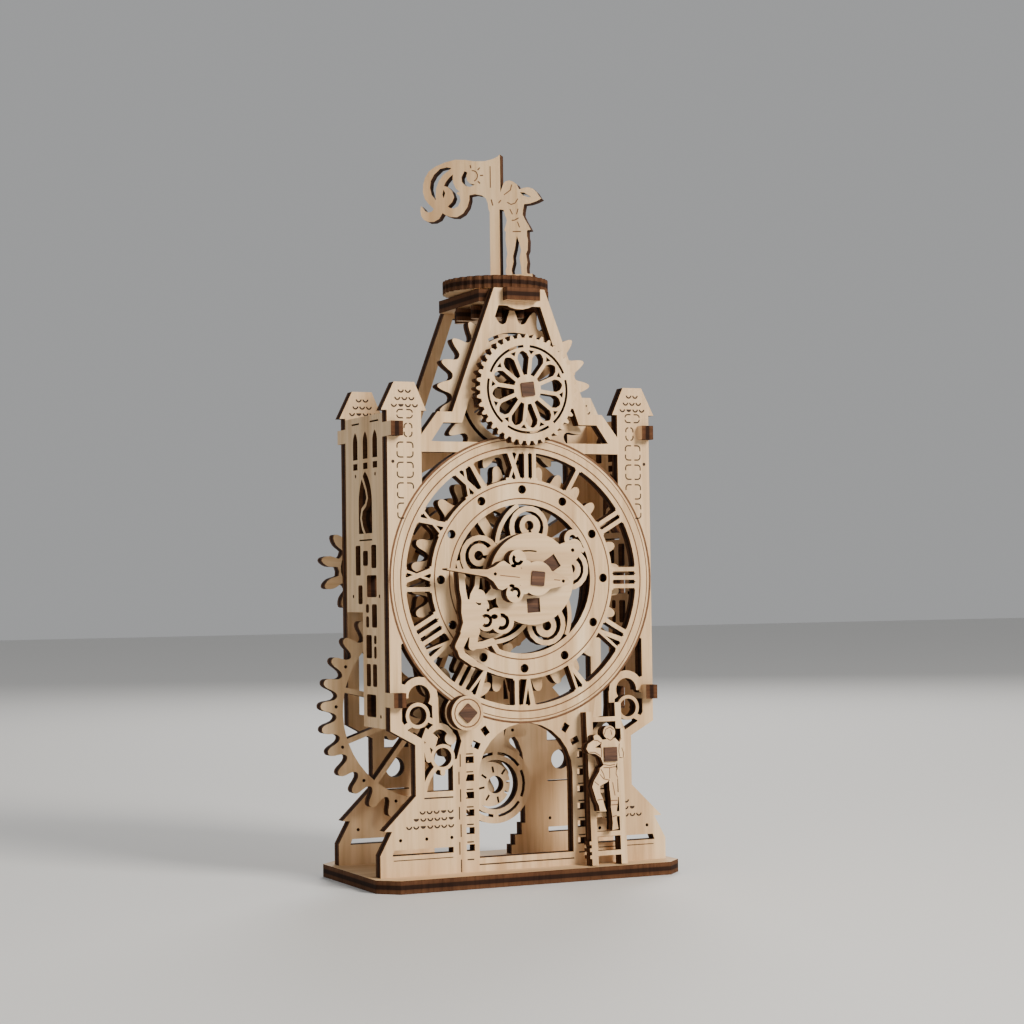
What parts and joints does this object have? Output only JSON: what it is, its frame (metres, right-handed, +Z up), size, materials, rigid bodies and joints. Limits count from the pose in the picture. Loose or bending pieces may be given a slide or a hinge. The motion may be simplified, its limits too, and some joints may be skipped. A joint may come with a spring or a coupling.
{
  "type": "wooden 3d jigsaw model",
  "caption": "Free-standing clock tower assembled from thin cut plywood sheets, with a geared drive, clock hands, swinging pendulum and turning flag platform.",
  "frame": {"origin": "centre of the base's underside", "axes": "+Z up; the dial faces -Y; +X is to the right seen from the dial side"},
  "size_m": [0.0813, 0.0451, 0.1715],
  "materials": {
    "birch_ply": "matte",
    "burnt_birch": "matte"
  },
  "bodies": {
    "tower": {"base_plate": "birch_ply", "front_frame": "birch_ply", "rear_frame": "birch_ply", "left_wall": "birch_ply", "right_wall": "birch_ply", "roof_bridge": "birch_ply", "ladder": "birch_ply", "climber": "birch_ply", "climber_peg": "burnt_birch", "rear_axle": "burnt_birch", "rear_cap": "birch_ply"},
    "drive": {"drive_arbor": "burnt_birch", "winding_knob": "birch_ply", "drive_pinion": "birch_ply", "drive_wheel": "birch_ply", "drive_collar": "birch_ply"},
    "minute": {"minute_arbor": "burnt_birch", "minute_hand": "birch_ply", "minute_pinion": "birch_ply", "minute_collar": "birch_ply", "minute_stops": "birch_ply", "rear_wheel": "birch_ply"},
    "hour": {"hour_wheel": "birch_ply", "hour_pegs": "burnt_birch", "hour_disc": "birch_ply"},
    "upper": {"upper_arbor": "burnt_birch", "rose_wheel": "birch_ply", "pointed_wheel": "birch_ply", "upper_collar": "birch_ply"},
    "platform": {"platform_arbor": "burnt_birch", "crown_pinion": "birch_ply", "platform_disc": "birch_ply", "flag_and_lookout": "birch_ply"},
    "idler": {"rear_gear": "birch_ply"},
    "pendulum": {"pendulum": "birch_ply"}
  },
  "joints": [
    {"name": "drive_spin", "type": "hinge", "parent": "tower", "child": "drive", "pos_m": [-0.016, 0, 0.03955], "axis": [0, 1, 0], "continuous": true},
    {"name": "minute_spin", "type": "hinge", "parent": "tower", "child": "minute", "pos_m": [0, 0, 0.07], "axis": [0, 1, 0], "continuous": true},
    {"name": "hour_spin", "type": "hinge", "parent": "tower", "child": "hour", "pos_m": [0, 0, 0.07], "axis": [0, 1, 0], "continuous": true},
    {"name": "upper_spin", "type": "hinge", "parent": "tower", "child": "upper", "pos_m": [0, 0, 0.11386], "axis": [0, 1, 0], "continuous": true},
    {"name": "platform_spin", "type": "hinge", "parent": "tower", "child": "platform", "pos_m": [0, -0.0014, 0.13346], "axis": [0, 0, 1], "continuous": true},
    {"name": "idler_spin", "type": "hinge", "parent": "tower", "child": "idler", "pos_m": [-0.0282, 0, 0.07319], "axis": [0, 1, 0], "continuous": true},
    {"name": "pendulum_swing", "type": "hinge", "parent": "tower", "child": "pendulum", "pos_m": [0, 0, 0.07], "axis": [0, 1, 0], "range_deg": [-12, 12]}
  ],
  "couplings": [
    {"joint": "minute_spin", "follows": "drive_spin", "ratio": -3},
    {"joint": "hour_spin", "follows": "drive_spin", "ratio": -0.33333},
    {"joint": "upper_spin", "follows": "drive_spin", "ratio": 0.47619},
    {"joint": "platform_spin", "follows": "drive_spin", "ratio": 1},
    {"joint": "idler_spin", "follows": "drive_spin", "ratio": 6.9}
  ]
}
